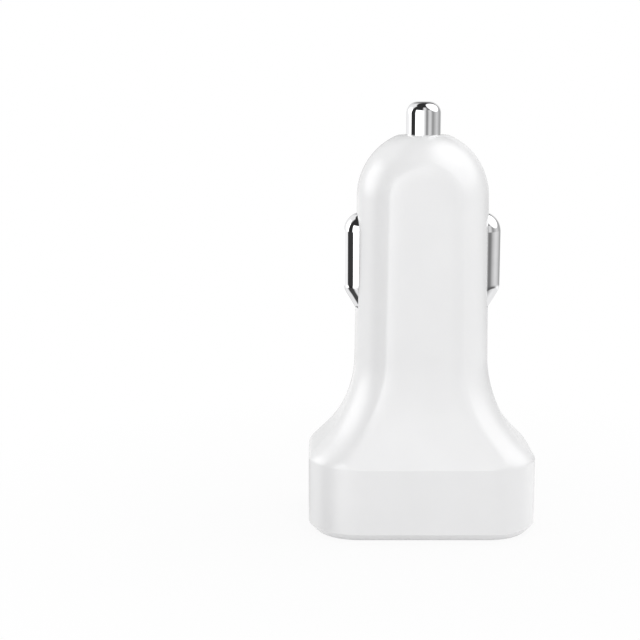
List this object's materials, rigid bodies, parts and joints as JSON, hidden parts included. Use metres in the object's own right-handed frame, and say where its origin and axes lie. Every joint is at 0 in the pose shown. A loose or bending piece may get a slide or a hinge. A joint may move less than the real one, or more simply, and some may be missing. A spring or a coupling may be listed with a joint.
{
  "type": "car usb charger plug",
  "caption": "Plug for a vehicle power socket: rounded block with side-by-side USB ports, flared neck with flat panels, sprung side contacts and a sprung nose contact.",
  "frame": {"origin": "centre of the USB face, which the plug stands on", "axes": "+Z along the plug axis to the nose contact, +X across the wide side towards the indicator, -Y out of the front panel"},
  "size_m": [0.036, 0.0256, 0.0674],
  "materials": {
    "housing_white": "polished white moulding",
    "light_pipe": "clear to milky rod",
    "led_body": "moulded lamp body",
    "board_green": "lacquered circuit board",
    "port_steel": "plated folded sheet",
    "port_insulator": "plain moulding",
    "contact_gold": "thin plating",
    "contact_chrome": "polished plating",
    "spring_steel": "drawn wire and strip",
    "cup_brass": "turned",
    "can_aluminium": "drawn can",
    "tinned_wire": "tinned",
    "ferrite": "fired grey-black",
    "copper_wire": "lacquered copper",
    "chip_black": "moulded",
    "resistor_black": "glazed"
  },
  "bodies": {
    "housing": {"body_shell": "housing_white", "face_plate": "housing_white", "led_light_pipe": "light_pipe", "status_led": "led_body", "port_board": "board_green", "power_board": "board_green", "usb_shell_left": "port_steel", "usb_shell_right": "port_steel", "usb_insulator_left": "port_insulator", "usb_insulator_right": "port_insulator", "usb_contacts_left": "contact_gold", "usb_contacts_right": "contact_gold", "pin_spring": "spring_steel", "spring_cup": "cup_brass", "ground_spring_left": "spring_steel", "ground_spring_right": "spring_steel", "input_capacitor": "can_aluminium", "output_capacitor": "can_aluminium", "capacitor_leads": "tinned_wire", "inductor_core": "ferrite", "inductor_winding": "copper_wire", "converter_chip": "chip_black", "chip_leads": "tinned_wire", "rectifier_diode": "chip_black", "diode_tabs": "tinned_wire", "chip_resistors": "resistor_black"},
    "pin": {"centre_pin": "contact_chrome"},
    "wing_left": {"ground_wing_left": "contact_chrome"},
    "wing_right": {"ground_wing_right": "contact_chrome"}
  },
  "joints": [
    {"name": "pin_slide", "type": "slide", "parent": "housing", "child": "pin", "axis": [0, 0, -1], "range_m": [0, 0.004], "stiffness_N_per_m": 400, "springref_m": -0.004, "deforming": ["pin_spring"]},
    {"name": "wing_left_slide", "type": "slide", "parent": "housing", "child": "wing_left", "axis": [1, 0, 0], "range_m": [0, 0.0019], "stiffness_N_per_m": 400, "springref_m": -0.002, "deforming": ["ground_spring_left"]},
    {"name": "wing_right_slide", "type": "slide", "parent": "housing", "child": "wing_right", "axis": [-1, 0, 0], "range_m": [0, 0.0019], "stiffness_N_per_m": 400, "springref_m": -0.002, "deforming": ["ground_spring_right"]}
  ]
}
